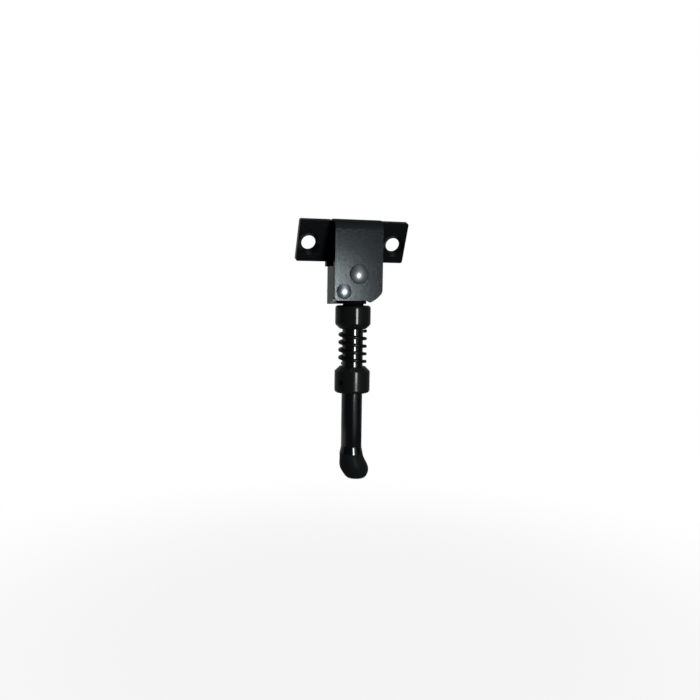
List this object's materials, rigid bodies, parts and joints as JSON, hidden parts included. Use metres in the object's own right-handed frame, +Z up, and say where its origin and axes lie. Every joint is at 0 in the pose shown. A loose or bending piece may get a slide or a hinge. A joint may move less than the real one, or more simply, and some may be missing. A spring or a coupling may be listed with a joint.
{
  "type": "electric scooter kickstand",
  "caption": "Short side kickstand: folded steel bracket with drilled ears, leg on a rivet pivot, sprung sliding collar and rubber foot boot.",
  "frame": {"origin": "middle of the two mounting holes, on the rear face of the mounting plate", "axes": "+Z up along the leg, +X along the mounting ears to the side that the leg folds to, +Y away from the viewer; the mounting plate's rear face looks along (0, 0.9135, 0.4067)"},
  "size_m": [0.0508, 0.0189, 0.1169],
  "materials": {
    "bracket_coat": "satin fine-texture black coat",
    "leg_coat": "semi-gloss black coat",
    "black_steel": "blackened steel",
    "zinc": "bright zinc plate",
    "slide_plastic": "plain slide plastic",
    "bronze": "sintered bronze",
    "boot_rubber": "moulded rubber, slight sheen"
  },
  "bodies": {
    "mount": {"bracket": "bracket_coat", "pivot_rivet": "bracket_coat", "stop_rivet": "zinc", "washer_front": "slide_plastic", "washer_rear": "slide_plastic"},
    "leg": {"leg_rod": "leg_coat", "pivot_bush": "bronze", "lower_collar": "leg_coat", "set_screw": "black_steel", "foot_boot": "boot_rubber", "spring": "black_steel"},
    "collar": {"upper_collar": "leg_coat"}
  },
  "joints": [
    {"name": "leg_fold", "type": "hinge", "parent": "mount", "child": "leg", "pos_m": [0, -0.00437, -0.01403], "axis": [0, -1, 0], "range_deg": [0, 85]},
    {"name": "collar_slide", "type": "slide", "parent": "leg", "child": "collar", "axis": [0, 0, -1], "range_m": [0, 0.004], "stiffness_N_per_m": 3000, "springref_m": -0.006, "deforming": ["spring"]}
  ]
}
